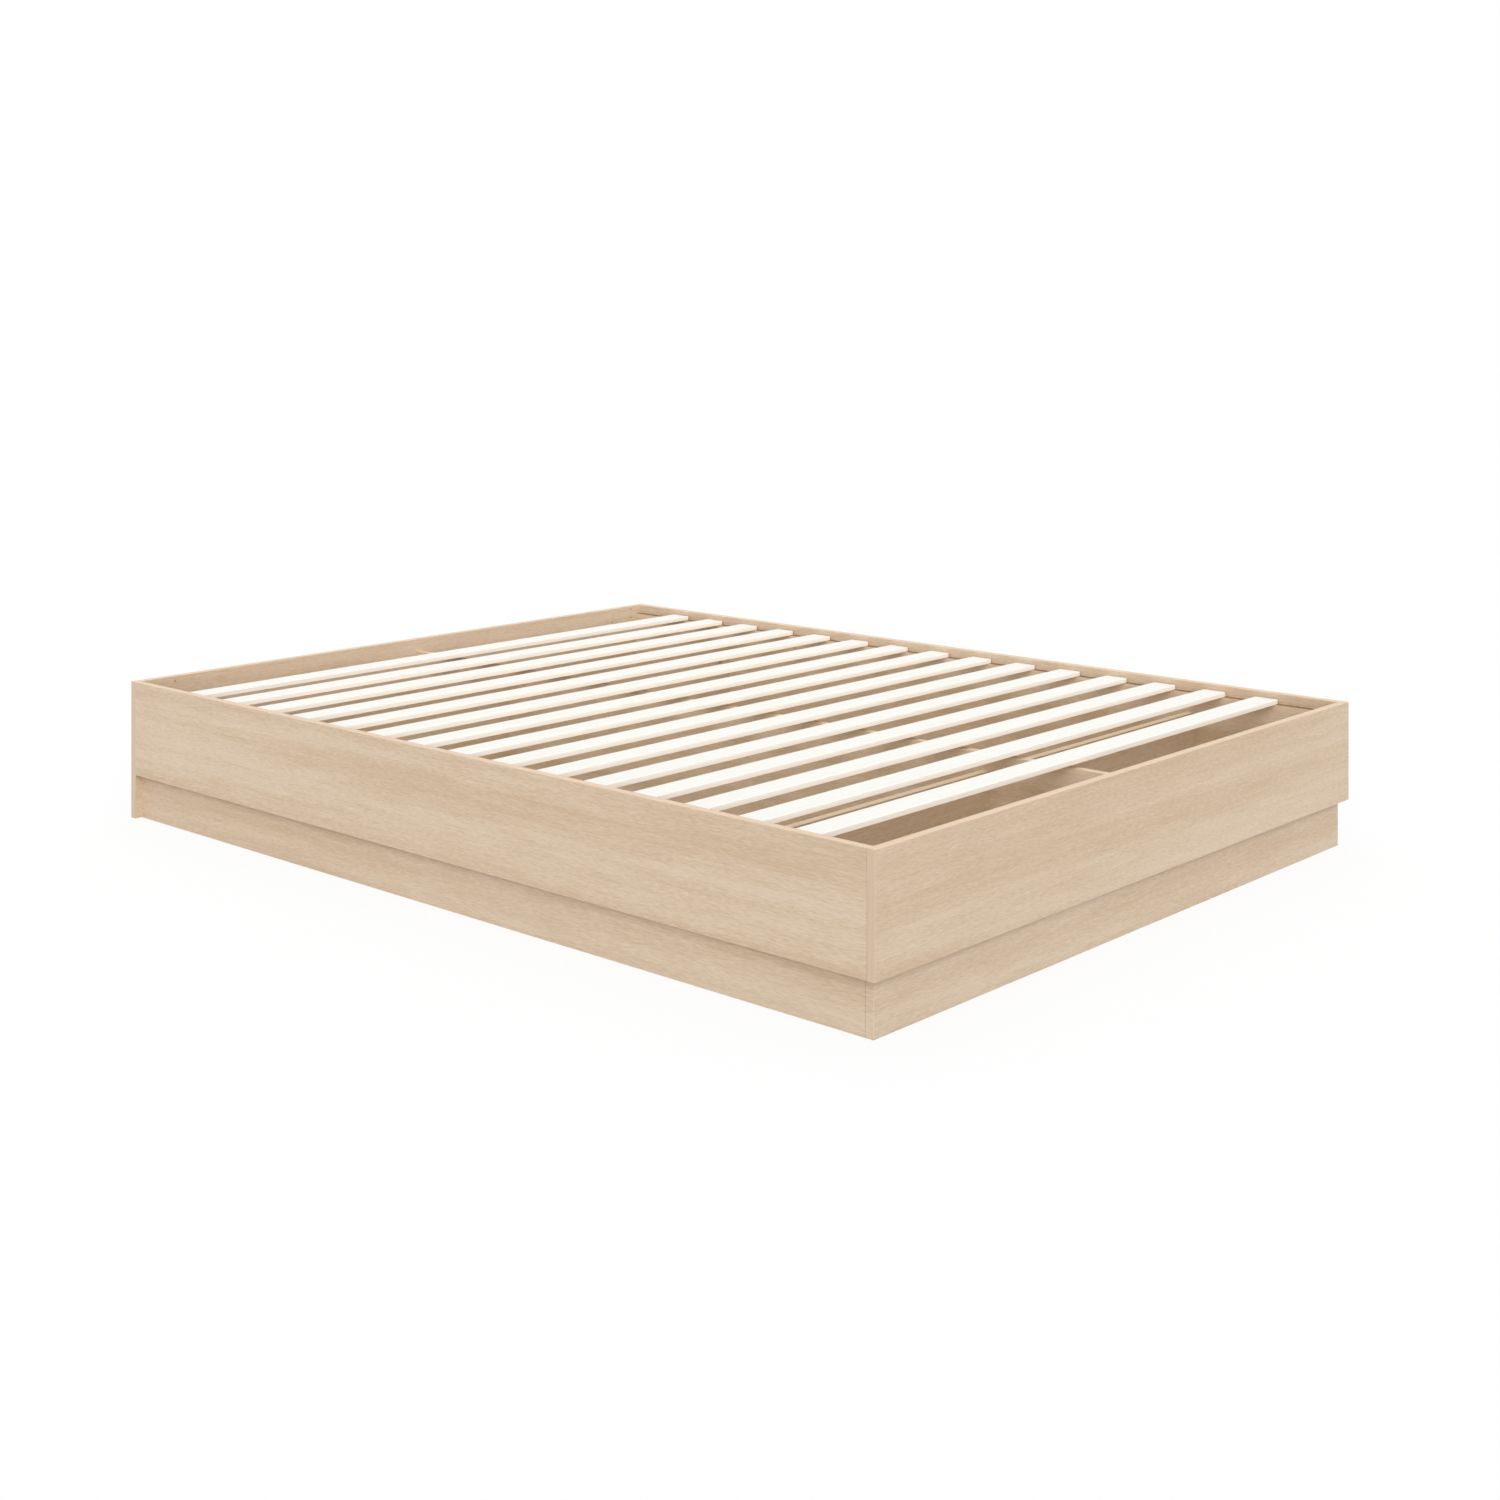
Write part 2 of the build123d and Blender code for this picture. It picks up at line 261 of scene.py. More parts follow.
def spin_profile(mesh, profile, steps):
    """Turn a profile of radius and height in millimetres about Z.

    Return the edges of its first end, which stays open.
    """
    points = [mesh.verts.new((radius * MM, 0, height * MM)) for radius, height in profile]
    edges = [mesh.edges.new(pair) for pair in zip(points, points[1:])]
    bmesh.ops.spin(
        mesh, geom=points + edges, cent=(0, 0, 0), axis=(0, 0, 1),
        angle=2 * math.pi, steps=steps, use_merge=True,
    )
    bmesh.ops.remove_doubles(mesh, verts=mesh.verts[:], dist=SAME_POINT)
    return [edge for edge in mesh.edges if edge.is_boundary]


def sink_cross(mesh, rim, reach, width, depth):
    """Close a round rim at height 0 with a flat end that has a tapered cross recess.

    The recess is given in millimetres.
    """
    half = width / 2
    quarter = ((reach, -half), (reach, half), (half, half))
    turns = ((1, 0), (0, 1), (-1, 0), (0, -1))
    corners = [(x * c - y * s, x * s + y * c) for c, s in turns for x, y in quarter]
    points = [mesh.verts.new((x * MM, y * MM, 0)) for x, y in corners]
    outline = [mesh.edges.new((points[i - 1], points[i])) for i in range(len(points))]
    bmesh.ops.triangle_fill(mesh, edges=rim + outline, use_beauty=True, normal=(0, 0, 1))
    walls = bmesh.ops.extrude_edge_only(mesh, edges=outline)["geom"]
    floor = [item for item in walls if isinstance(item, bmesh.types.BMVert)]
    bmesh.ops.scale(mesh, verts=floor, vec=(RECESS_TAPER, RECESS_TAPER, 1))
    bmesh.ops.translate(mesh, verts=floor, vec=(0, 0, -depth * MM))
    bmesh.ops.holes_fill(mesh, edges=[edge for edge in mesh.edges if edge.is_boundary])


def wind_thread(mesh, core, crest, pitch, shank_foot, tip, steps):
    """Wind a ridge of three-cornered section about Z, from a shank's foot down to the tip.

    Radii and heights are in millimetres.
    """
    foot = THREAD_FOOT * pitch
    root = core - THREAD_SUNK
    top = shank_foot - THREAD_RUN
    bottom = tip - THREAD_RUN
    section = ((root, top), (crest, top - foot / 2), (root, top - foot))
    points = [mesh.verts.new((radius * MM, 0, height * MM)) for radius, height in section]
    edges = [mesh.edges.new((points[i - 1], points[i])) for i in range(len(points))]
    turns = int((top - bottom - foot) / pitch)
    bmesh.ops.spin(
        mesh, geom=points + edges, cent=(0, 0, 0), axis=(0, 0, 1),
        dvec=(0, 0, -pitch * MM / steps), angle=2 * math.pi * turns, steps=steps * turns,
    )
    bmesh.ops.holes_fill(mesh, edges=[edge for edge in mesh.edges if edge.is_boundary])


def cam_bolt(mesh, length, settings):
    """Steel bolt whose head hooks in a cam disc, its thread cut for chipboard.

    Its radii and heights are in millimetres, with the end of the head at height 0.
    """
    head, neck, shank, core, crest, end_radius = 3.5, 2.0, 2.7, 2.1, 3.0, 1.4
    head_foot, neck_foot, end = -4.0, -10.0, -length / MM
    shank_foot, tip = end + 11.0, end + 1.0
    bevel, slope = 0.4, 0.5
    rim = spin_profile(mesh, (
        (head - bevel, 0), (head, -bevel), (head, head_foot + bevel), (head - bevel, head_foot),
        (neck, head_foot), (neck, neck_foot), (shank, neck_foot - slope), (shank, shank_foot),
        (core, shank_foot - slope), (core, tip), (end_radius, end), (0, end),
    ), BOLT_SIDES)
    sink_cross(mesh, rim, reach=2.2, width=0.9, depth=1.8)
    wind_thread(mesh, core, crest, settings.bolt_pitch / MM, shank_foot, tip, BOLT_SIDES)


def plinth_screw(mesh, length, settings):
    """Countersunk chipboard screw with a cross recess and a sharp point.

    Its radii and heights are in millimetres, with the flat of the head at height 0.
    """
    head, shank, core, crest = 3.9, 1.9, 1.3, 2.0
    head_foot, shank_foot, end = -2.0, -6.0, -length / MM
    tip = end + 3.0
    slope = 0.6
    rim = spin_profile(mesh, (
        (head, 0), (shank, head_foot), (shank, shank_foot), (core, shank_foot - slope),
        (core, tip), (0, end),
    ), SCREW_SIDES)
    sink_cross(mesh, rim, reach=2.5, width=0.9, depth=1.4)
    wind_thread(mesh, core, crest, settings.screw_pitch / MM, shank_foot, tip, SCREW_SIDES)


def fluted_dowel(mesh, length, settings):
    """Beech dowel with chamfered ends and glue flutes along it."""
    chamfer = 0.8 * MM
    radius = 4 * MM
    end_radius = radius - chamfer
    bmesh.ops.create_circle(
        mesh, cap_ends=True, segments=2 * settings.flutes, radius=end_radius,
    )
    section = mesh.faces[:]
    for rise, growth in (
        (-chamfer, radius / end_radius),
        (2 * chamfer - length, 1.0),
        (-chamfer, end_radius / radius),
    ):
        first = len(mesh.faces) == 1
        grown = bmesh.ops.extrude_face_region(mesh, geom=section, use_keep_orig=first)["geom"]
        section = [item for item in grown if isinstance(item, bmesh.types.BMFace)]
        verts = [item for item in grown if isinstance(item, bmesh.types.BMVert)]
        bmesh.ops.translate(mesh, verts=verts, vec=(0, 0, rise))
        bmesh.ops.scale(mesh, verts=verts, vec=(growth, growth, 1))
    step = math.pi / settings.flutes
    grooves = [
        vert for vert in mesh.verts if round(math.atan2(vert.co.y, vert.co.x) / step) % 2
    ]
    depth = 1 - settings.flute_depth / radius
    bmesh.ops.scale(mesh, verts=grooves, vec=(depth, depth, 1))


def make_fittings(node, shape, settings, material):
    """Build a shape at each solid of a node, in one piece that stands for the node."""
    whole = bmesh.new()
    for points in solids_of(node):
        matrix, length = turned_frame(points)
        single = bmesh.new()
        shape(single, length, settings)
        bmesh.ops.recalc_face_normals(single, faces=single.faces[:])
        for edge in single.edges:
            edge.smooth = edge.calc_face_angle(math.pi) < CRISP_ANGLE
        for face in single.faces:
            face.smooth = True
        turned = single.verts.layers.float_vector.new(TURNED_PLACE)
        for vert in single.verts:
            vert[turned] = vert.co
        bmesh.ops.transform(single, matrix=matrix, verts=single.verts[:])
        data = bpy.data.meshes.new("single")
        single.to_mesh(data)
        single.free()
        whole.from_mesh(data)
        bpy.data.meshes.remove(data)
    name = f"{node}_detailed"
    data = bpy.data.meshes.new(name)
    whole.to_mesh(data)
    whole.free()
    data.materials.append(material)
    piece = bpy.data.objects.new(name, data)
    bpy.context.scene.collection.objects.link(piece)
    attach(piece, "root")
    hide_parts(node)


def colour_property(name, description, hex_colour):
    """Return a colour property whose default is an sRGB hex value."""
    return FloatVectorProperty(
        name=name, description=description, default=linear(hex_colour), size=4,
        subtype="COLOR", min=0, max=1,
    )


def length_property(name, description, millimetres):
    """Return a length property whose default is given in millimetres."""
    return FloatProperty(
        name=name, description=description, default=millimetres * MM, min=0,
        unit="LENGTH", precision=4,
    )


class OakSettings(bpy.types.PropertyGroup):
    """Printed light oak faces, edge bands and bare edges of the boards"""

    tan: colour_property("Tan", "Darkest tone of the print", "#C1A88C")
    cream: colour_property("Cream", "Palest tone of the print", "#D4C1AB")
    # Edge bands are one melamine: End edging is its own colour, and the paler Edging on the bands
    # along the boards is painted light, for the light from above on their tops
    edging: colour_property("Edging", "Band on the board edges", "#D5BCA1")
    end_edging: colour_property("End edging", "Band on the upright board ends", "#CBB49C")
    # Paler than the other edging: painted light, for the light that falls between the slats on the
    # tops of the cross panels
    cross_edging_painted_light: colour_property(
        "Cross edging painted light", "Band on the tops of the cross panels", "#E6CCB0",
    )
    # Darker than bare chipboard: the chips' own tones with painted shade, for the shade along the
    # ledges under the rails
    chip_and_shade_dark: colour_property("Dark chips and shade", "Darkest chips of a bare board edge", "#664F35")
    chip_and_shade_pale: colour_property("Pale chips and shade", "Palest chips of a bare board edge", "#9C805F")
    band_length: length_property(
        "Band length", "Length of the broad bands along the grain", 1500,
    )
    band_width: length_property("Band width", "Width of the broad bands", 48)
    streak_length: length_property("Streak length", "Length of the streaks within a band", 180)
    streak_width: length_property("Streak width", "Width of the streaks within a band", 11)
    fibre_length: length_property("Fibre length", "Length of the narrow fibres", 75)
    fibre_width: length_property("Fibre width", "Width of the narrow fibres", 3.5)
    # Real pores are too fine to show, so these are drawn coarser
    pore_length: length_property("Pore length", "Length of the short pore strokes", 15)
    pore_width: length_property("Pore width", "Width of the short pore strokes", 1.4)
    pore_slant: FloatProperty(
        name="Pore slant", description="Turn of the pore strokes from the board's length",
        default=math.radians(17), subtype="ANGLE",
    )
    knot: colour_property("Knot", "Pin knots of the print", "#8A6647")
    knot_size: length_property("Knot size", "Width of a pin knot", 7)


class SlatSettings(bpy.types.PropertyGroup):
    """Pale wood of the slats"""

    face: colour_property("Face", "Planed top and bottom", "#EAE9E4")
    # Lighter than the faces: painted light, for the light on the slat fronts; the warm tint is the
    # wood's own
    edge: colour_property("Edge", "Long edges", "#F5EEE4")
    end_grain: colour_property("End grain", "Sawn ends", "#DCC9AF")


class FittingSettings(bpy.types.PropertyGroup):
    """Bolts, cam discs, dowels, pegs and screws that hold the bed together"""

    zinc: colour_property("Zinc", "Plating of the bolts and screws", "#DACDC0")
    zinc_cloud: colour_property("Zinc clouds", "Warmer clouds of the plating", "#D8C3AA")
    cast_zinc: colour_property("Cast zinc", "Skin of the cam discs", "#D6D7D6")
    cast_pit: colour_property("Cast pits", "Darker pits of that skin", "#B0B3B4")
    beech: colour_property("Beech", "Wood of the dowels", "#D9B88E")
    beech_fleck: colour_property("Beech flecks", "Short dark flecks of that wood", "#B48A5E")
    nylon: colour_property("Nylon", "Slat pegs", "#E9E5D9")
    nylon_cloud: colour_property(
        "Nylon clouds", "Clouds where the nylon flowed into its mould", "#DDD8C8",
    )
    bolt_pitch: length_property("Bolt pitch", "Rise of the bolt thread in one turn", 2)
    screw_pitch: length_property("Screw pitch", "Rise of the screw thread in one turn", 1.8)
    flutes: IntProperty(name="Flutes", description="Glue flutes round a dowel", default=20, min=3)
    flute_depth: length_property("Flute depth", "Depth of a glue flute", 0.3)


class StageSettings(bpy.types.PropertyGroup):
    """Camera, lamps and floor"""

    camera_place: FloatVectorProperty(
        name="Camera place", description="Where the camera stands",
        default=(-3.2282, -2.9955, 1.1222), subtype="TRANSLATION", unit="LENGTH", precision=4,
    )
    heading: FloatProperty(
        name="Heading", description="Turn of the level camera from +Y towards +X",
        default=math.radians(47.857), subtype="ANGLE",
    )
    lens: FloatProperty(
        name="Lens", description="Focal length in millimetres", default=50, unit="CAMERA",
    )
    drop: FloatProperty(
        name="Drop", description="Shift of the picture below the horizon, as a share of its width",
        default=0.30004, min=0, max=1, subtype="FACTOR",
    )
    dome: FloatProperty(
        name="Dome", description="White light from all round", default=0.6, min=0,
    )
    overhead: FloatProperty(
        name="Overhead", description="Broad soft light from above", default=0.8, min=0,
    )
    key: FloatProperty(
        name="Key", description="Broad soft light from the near corner", default=2.75, min=0,
    )
    back: FloatProperty(
        name="Back", description="Broad soft light from the far corner", default=0.4, min=0,
    )
    key_rise: FloatProperty(
        name="Key rise", description="Height of the key and back lights above the horizon",
        default=math.radians(20), subtype="ANGLE",
    )
    spread: FloatProperty(
        name="Spread", description="Width of each broad light, seen from the bed",
        default=math.radians(60), subtype="ANGLE",
    )
    fill: FloatProperty(
        name="Fill",
        description="Lamp under the slats, for the light that the floor and boards give back",
        default=2.9, min=0, unit="POWER",
    )
    fill_tint: colour_property("Fill tint", "Colour of the light under the slats", "#FFE6B8")
    floor_tone: FloatProperty(
        name="Floor tone", description="Share of light that the floor gives back",
        default=0.4, min=0, max=1, subtype="FACTOR",
    )
    shadow: FloatProperty(
        name="Shadow", description="Strength of the shadow that shows on the floor",
        default=0.12, min=0, max=1, subtype="FACTOR",
    )


def board_sheet(tree, place, board):
    """Return the place on the printed sheet, its first axis along the grain of one board."""
    along, _ = long_and_thin(board)
    return add_node(tree, "ShaderNodeMapping", {
        "Vector": place.outputs["Object"],
        "Rotation": ALONG[along],
        "Location": (0, 0, CUTS[board]),
    }).outputs["Vector"]


def oak_print(tree, sheet, settings):
    """Add the print of light oak, and return its colour and the strength of its pores."""
    slant = settings.pore_slant
    pores = streaks(tree, sheet, settings.pore_length, settings.pore_width, slant)
    fibres = streaks(tree, sheet, settings.fibre_length, settings.fibre_width, slant / 2)
    tone = weighted_tone(tree, (
        (BAND_WEIGHT, streaks(tree, sheet, settings.band_length, settings.band_width)),
        (STREAK_WEIGHT, streaks(tree, sheet, settings.streak_length, settings.streak_width)),
        (FIBRE_WEIGHT, fibres),
        (PORE_WEIGHT, pores),
    ))
    printed = add_node(tree, "ShaderNodeMix", {
        "Factor_Float": tone, "A_Color": settings.tan, "B_Color": settings.cream,
    }, data_type="RGBA").outputs["Result"]
    return printed, pores


def with_knots(tree, place, printed, board, settings):
    """Draw a board's pin knots over its print, and return the colour."""
    inverse = 2 / settings.knot_size
    for across, height in KNOTS.get(board, ()):
        centred = add_node(tree, "ShaderNodeMapping", {
            "Vector": place.outputs["Object"],
            "Scale": (inverse, 0, inverse),
            "Location": (-across * inverse, 0, -height * inverse),
        })
        reach = add_node(tree, "ShaderNodeVectorMath", {
            "Vector": centred.outputs["Vector"],
        }, operation="LENGTH")
        dark = add_node(tree, "ShaderNodeMapRange", {
            "Value": reach.outputs["Value"],
            "From Min": KNOT_CORE, "From Max": 1.0, "To Min": KNOT_COVER, "To Max": 0.0,
        })
        printed = add_node(tree, "ShaderNodeMix", {
            "Factor_Float": dark.outputs["Result"], "A_Color": printed, "B_Color": settings.knot,
        }, data_type="RGBA").outputs["Result"]
    return printed


def bare_chips_and_shade(tree, sheet, settings):
    """Add the pressed chips of a board's bare edge, each of one tone and darkened as painted
    shade, and return the colour.
    """
    flakes = add_node(tree, "ShaderNodeMapping", {
        "Vector": sheet, "Scale": [1 / size for size in CHIP_SIZE],
    })
    chips = add_node(tree, "ShaderNodeTexVoronoi", {
        "Vector": flakes.outputs["Vector"], "Scale": 1.0,
    })
    chip_tone = add_node(tree, "ShaderNodeSeparateColor", {"Color": chips.outputs["Color"]})
    return add_node(tree, "ShaderNodeMix", {
        "Factor_Float": chip_tone.outputs["Red"],
        "A_Color": settings.chip_and_shade_dark, "B_Color": settings.chip_and_shade_pale,
    }, data_type="RGBA").outputs["Result"]


def light_oak_laminate(board, settings):
    """Printed paper pressed on chipboard: soft tan and cream bands, fine pores and a satin sheen.

    Where the board isn't faced, its chips show, darkened as painted shade.
    """
    _, thin = long_and_thin(board)
    material = new_material(f"Light oak laminate {board}")
    tree = material.node_tree
    place = add_node(tree, "ShaderNodeTexCoord")
    sheet = board_sheet(tree, place, board)
    printed, pores = oak_print(tree, sheet, settings)
    facing = add_node(tree, "ShaderNodeSeparateXYZ", {"Vector": place.outputs["Normal"]})
    squareness = add_node(tree, "ShaderNodeMath", {
        "Value": facing.outputs[thin],
    }, operation="ABSOLUTE")
    faced = add_node(tree, "ShaderNodeMath", {
        "Value": squareness.outputs["Value"], "Value_001": FACED_COSINE,
    }, operation="GREATER_THAN")
    colour = add_node(tree, "ShaderNodeMix", {
        "Factor_Float": faced.outputs["Value"],
        "A_Color": bare_chips_and_shade(tree, sheet, settings),
        "B_Color": with_knots(tree, place, printed, board, settings),
    }, data_type="RGBA")
    roughness = add_node(tree, "ShaderNodeMapRange", {
        "Value": faced.outputs["Value"], "To Min": BARE_ROUGHNESS, "To Max": SATIN_ROUGHNESS,
    })
    relief = add_node(tree, "ShaderNodeBump", {
        "Height": pores, "Strength": 0.4, "Distance": 0.05 * MM,
    })
    surface = add_node(tree, "ShaderNodeBsdfPrincipled", {
        "Base Color": colour.outputs["Result"],
        "Roughness": roughness.outputs["Result"],
        "Specular IOR Level": SATIN_SPECULAR,
        "Normal": relief.outputs["Normal"],
    })
    add_node(tree, "ShaderNodeOutputMaterial", {"Surface": surface.outputs["BSDF"]})
    return material


def printed_edging(board, settings):
    """Strip of the same paper as the board beside it: the two read as one satin face."""
    material = new_material(f"Printed edging {board}")
    tree = material.node_tree
    place = add_node(tree, "ShaderNodeTexCoord")
    printed, _ = oak_print(tree, board_sheet(tree, place, board), settings)
    surface = add_node(tree, "ShaderNodeBsdfPrincipled", {
        "Base Color": printed,
        "Roughness": SATIN_ROUGHNESS,
        "Specular IOR Level": SATIN_SPECULAR,
    })
    add_node(tree, "ShaderNodeOutputMaterial", {"Surface": surface.outputs["BSDF"]})
    return material


def melamine_edging(name, colour, turn):
    """Thin strip ironed on a board edge: plain cream with hairline streaks, and a satin sheen."""
    material = new_material(name)
    tree = material.node_tree
    place = add_node(tree, "ShaderNodeTexCoord")
    strip = add_node(tree, "ShaderNodeMapping", {
        "Vector": place.outputs["Object"], "Rotation": turn,
    })
    # Real hairlines are too fine to show, so these are drawn coarser
    hairlines = streaks(tree, strip.outputs["Vector"], length=120 * MM, width=2 * MM)
    shade = add_node(tree, "ShaderNodeMapRange", {
        "Value": hairlines, "From Min": 0.3, "From Max": 0.7, "To Min": 0.96, "To Max": 1.04,
    })
    streaked = add_node(tree, "ShaderNodeMix", {
        "Factor_Float": 1.0, "A_Color": colour, "B_Color": shade.outputs["Result"],
    }, data_type="RGBA", blend_type="MULTIPLY")
    surface = add_node(tree, "ShaderNodeBsdfPrincipled", {
        "Base Color": streaked.outputs["Result"],
        "Roughness": SATIN_ROUGHNESS,
        "Specular IOR Level": SATIN_SPECULAR,
    })
    add_node(tree, "ShaderNodeOutputMaterial", {"Surface": surface.outputs["BSDF"]})
    return material


def sanded_poplar(settings):
    """Planed and sanded pale wood: near-white faces with soft streaks, warmer ends, and warmer
    long edges that are painted lighter than the faces as painted light on the slat fronts.
    """
    material = new_material("Sanded poplar")
    tree = material.node_tree
    place = add_node(tree, "ShaderNodeTexCoord")
    along = place.outputs["Object"]
    # Real fibres are too fine to show, so these are drawn coarser
    fibres = streaks(tree, along, length=90 * MM, width=2 * MM)
    tone = weighted_tone(tree, (
        (0.6, streaks(tree, along, length=400 * MM, width=16 * MM)),
        (0.5, fibres),
    ))
    facing = add_node(tree, "ShaderNodeSeparateXYZ", {"Vector": place.outputs["Normal"]})
    level = add_node(tree, "ShaderNodeMath", {
        "Value": facing.outputs["Z"],
    }, operation="ABSOLUTE")
    endwise = add_node(tree, "ShaderNodeMath", {
        "Value": facing.outputs["X"],
    }, operation="ABSOLUTE")
    # Long edges get a colour painted lighter than the faces: painted light on the slat fronts
    sides = add_node(tree, "ShaderNodeMix", {
        "Factor_Float": endwise.outputs["Value"],
        "A_Color": settings.edge, "B_Color": settings.end_grain,
    }, data_type="RGBA")
    wood = add_node(tree, "ShaderNodeMix", {
        "Factor_Float": level.outputs["Value"],
        "A_Color": sides.outputs["Result"], "B_Color": settings.face,
    }, data_type="RGBA")
    shade = add_node(tree, "ShaderNodeMapRange", {
        "Value": tone, "From Min": 0.2, "From Max": 0.8, "To Min": 0.95, "To Max": 1.0,
    })
    colour = add_node(tree, "ShaderNodeMix", {
        "Factor_Float": 1.0, "A_Color": wood.outputs["Result"], "B_Color": shade.outputs["Result"],
    }, data_type="RGBA", blend_type="MULTIPLY")
    relief = add_node(tree, "ShaderNodeBump", {
        "Height": fibres, "Strength": 0.3, "Distance": 0.05 * MM,
    })
    surface = add_node(tree, "ShaderNodeBsdfPrincipled", {
        "Base Color": colour.outputs["Result"],
        "Roughness": 0.6,
        "Specular IOR Level": 0.1,
        "Normal": relief.outputs["Normal"],
    })
    add_node(tree, "ShaderNodeOutputMaterial", {"Surface": surface.outputs["BSDF"]})
    return material


def zinc_plated_steel(settings):
    """Turned steel with a thin zinc plating: pale, warm and half dull, with clouds and rings."""
    material = new_material("Zinc-plated steel")
    tree = material.node_tree
    turned = add_node(tree, "ShaderNodeAttribute", attribute_name=TURNED_PLACE).outputs["Vector"]
    clouds = add_node(tree, "ShaderNodeTexNoise", {
        "Vector": turned, "Scale": 1 / (4 * MM), "Detail": 3.0,
    })
    colour = add_node(tree, "ShaderNodeMix", {
        "Factor_Float": clouds.outputs["Fac"],
        "A_Color": settings.zinc, "B_Color": settings.zinc_cloud,
    }, data_type="RGBA")
    roughness = add_node(tree, "ShaderNodeMapRange", {
        "Value": clouds.outputs["Fac"], "To Min": 0.35, "To Max": 0.55,
    })
    # Real turning rings are finer: these are drawn as coarse as a close view needs
    around, ring = 6 * MM, 0.25 * MM
    rings = add_node(tree, "ShaderNodeMapping", {
        "Vector": turned, "Scale": (1 / around, 1 / around, 1 / ring),
    })
    lines = add_node(tree, "ShaderNodeTexNoise", {
        "Vector": rings.outputs["Vector"], "Scale": 1.0,
    })
    relief = add_node(tree, "ShaderNodeBump", {
        "Height": lines.outputs["Fac"], "Strength": 0.3, "Distance": 0.05 * MM,
    })
    surface = add_node(tree, "ShaderNodeBsdfPrincipled", {
        "Base Color": colour.outputs["Result"],
        "Metallic": 1.0,
        "Roughness": roughness.outputs["Result"],
        "Normal": relief.outputs["Normal"],
    })
    add_node(tree, "ShaderNodeOutputMaterial", {"Surface": surface.outputs["BSDF"]})
    return material


def die_cast_zinc(settings):
    """Zinc cast under pressure: a dull pale grey skin with fine darker pits."""
    material = new_material("Die-cast zinc")
    tree = material.node_tree
    place = add_node(tree, "ShaderNodeTexCoord")
    # Real pits are finer: these are drawn as coarse as a close view needs
    pits = add_node(tree, "ShaderNodeTexNoise", {
        "Vector": place.outputs["Object"], "Scale": 1 / (0.8 * MM), "Detail": 3.0,
    })
    colour = add_node(tree, "ShaderNodeMix", {
        "Factor_Float": pits.outputs["Fac"],
        "A_Color": settings.cast_pit, "B_Color": settings.cast_zinc,
    }, data_type="RGBA")
    roughness = add_node(tree, "ShaderNodeMapRange", {
        "Value": pits.outputs["Fac"], "To Min": 0.6, "To Max": 0.42,
    })
    relief = add_node(tree, "ShaderNodeBump", {
        "Height": pits.outputs["Fac"], "Strength": 0.4, "Distance": 0.08 * MM,
    })
    surface = add_node(tree, "ShaderNodeBsdfPrincipled", {
        "Base Color": colour.outputs["Result"],
        "Metallic": 1.0,
        "Roughness": roughness.outputs["Result"],
        "Normal": relief.outputs["Normal"],
    })
    add_node(tree, "ShaderNodeOutputMaterial", {"Surface": surface.outputs["BSDF"]})
    return material


def rolled_beech(settings):
    """Beech rod with pressed flutes: a warm tan with short dark flecks along it, and no shine."""
    material = new_material("Rolled beech")
    tree = material.node_tree
    turned = add_node(tree, "ShaderNodeAttribute", attribute_name=TURNED_PLACE).outputs["Vector"]
    rod = add_node(tree, "ShaderNodeMapping", {
        "Vector": turned, "Rotation": ALONG_Z,
    }).outputs["Vector"]
    flecks = streaks(tree, rod, length=4 * MM, width=0.5 * MM)
    tone = weighted_tone(tree, (
        (1.6, flecks),
        (0.8, streaks(tree, rod, length=30 * MM, width=2 * MM)),
    ))
    colour = add_node(tree, "ShaderNodeMix", {
        "Factor_Float": tone, "A_Color": settings.beech_fleck, "B_Color": settings.beech,
    }, data_type="RGBA")
    relief = add_node(tree, "ShaderNodeBump", {
        "Height": flecks, "Strength": 0.4, "Distance": 0.06 * MM,
    })
    surface = add_node(tree, "ShaderNodeBsdfPrincipled", {
        "Base Color": colour.outputs["Result"],
        "Roughness": 0.75,
        "Specular IOR Level": 0.2,
        "Normal": relief.outputs["Normal"],
    })
    add_node(tree, "ShaderNodeOutputMaterial", {"Surface": surface.outputs["BSDF"]})
    return material


def moulded_nylon(settings):
    """Undyed nylon from a mould: milky, smooth and slightly cloudy."""
    material = new_material("Moulded nylon")
    tree = material.node_tree
    place = add_node(tree, "ShaderNodeTexCoord")
    clouds = add_node(tree, "ShaderNodeTexNoise", {
        "Vector": place.outputs["Object"], "Scale": 1 / (5 * MM), "Detail": 2.0,
    })
    colour = add_node(tree, "ShaderNodeMix", {
        "Factor_Float": clouds.outputs["Fac"],
        "A_Color": settings.nylon_cloud, "B_Color": settings.nylon,
    }, data_type="RGBA")
    roughness = add_node(tree, "ShaderNodeMapRange", {
        "Value": clouds.outputs["Fac"], "To Min": 0.45, "To Max": 0.35,
    })
    surface = add_node(tree, "ShaderNodeBsdfPrincipled", {
        "Base Color": colour.outputs["Result"],
        "Roughness": roughness.outputs["Result"],
        "IOR": 1.53,
    })
    add_node(tree, "ShaderNodeOutputMaterial", {"Surface": surface.outputs["BSDF"]})
    return material


def seen_rays(tree):
    """Return 1 for rays from the camera, off gloss and through glass, and 0 for the light."""
    ray = add_node(tree, "ShaderNodeLightPath")
    seen = ray.outputs["Is Camera Ray"]
    for kind in ("Is Glossy Ray", "Is Transmission Ray"):
        seen = add_node(tree, "ShaderNodeMath", {
            "Value": seen, "Value_001": ray.outputs[kind],
        }, operation="MAXIMUM").outputs["Value"]
    return seen


def white_surroundings(settings):
    """Make the world show as white, and give a weaker even light."""
    world = bpy.data.worlds.new("White studio")
    world.use_nodes = True
    bpy.context.scene.world = world
    tree = world.node_tree
    tree.nodes.clear()
    strength = add_node(tree, "ShaderNodeMapRange", {
        "Value": seen_rays(tree), "To Min": settings.dome, "To Max": 1.0,
    })
    background = add_node(tree, "ShaderNodeBackground", {
        "Color": WHITE, "Strength": strength.outputs["Result"],
    })
    add_node(tree, "ShaderNodeOutputWorld", {"Surface": background.outputs["Background"]})


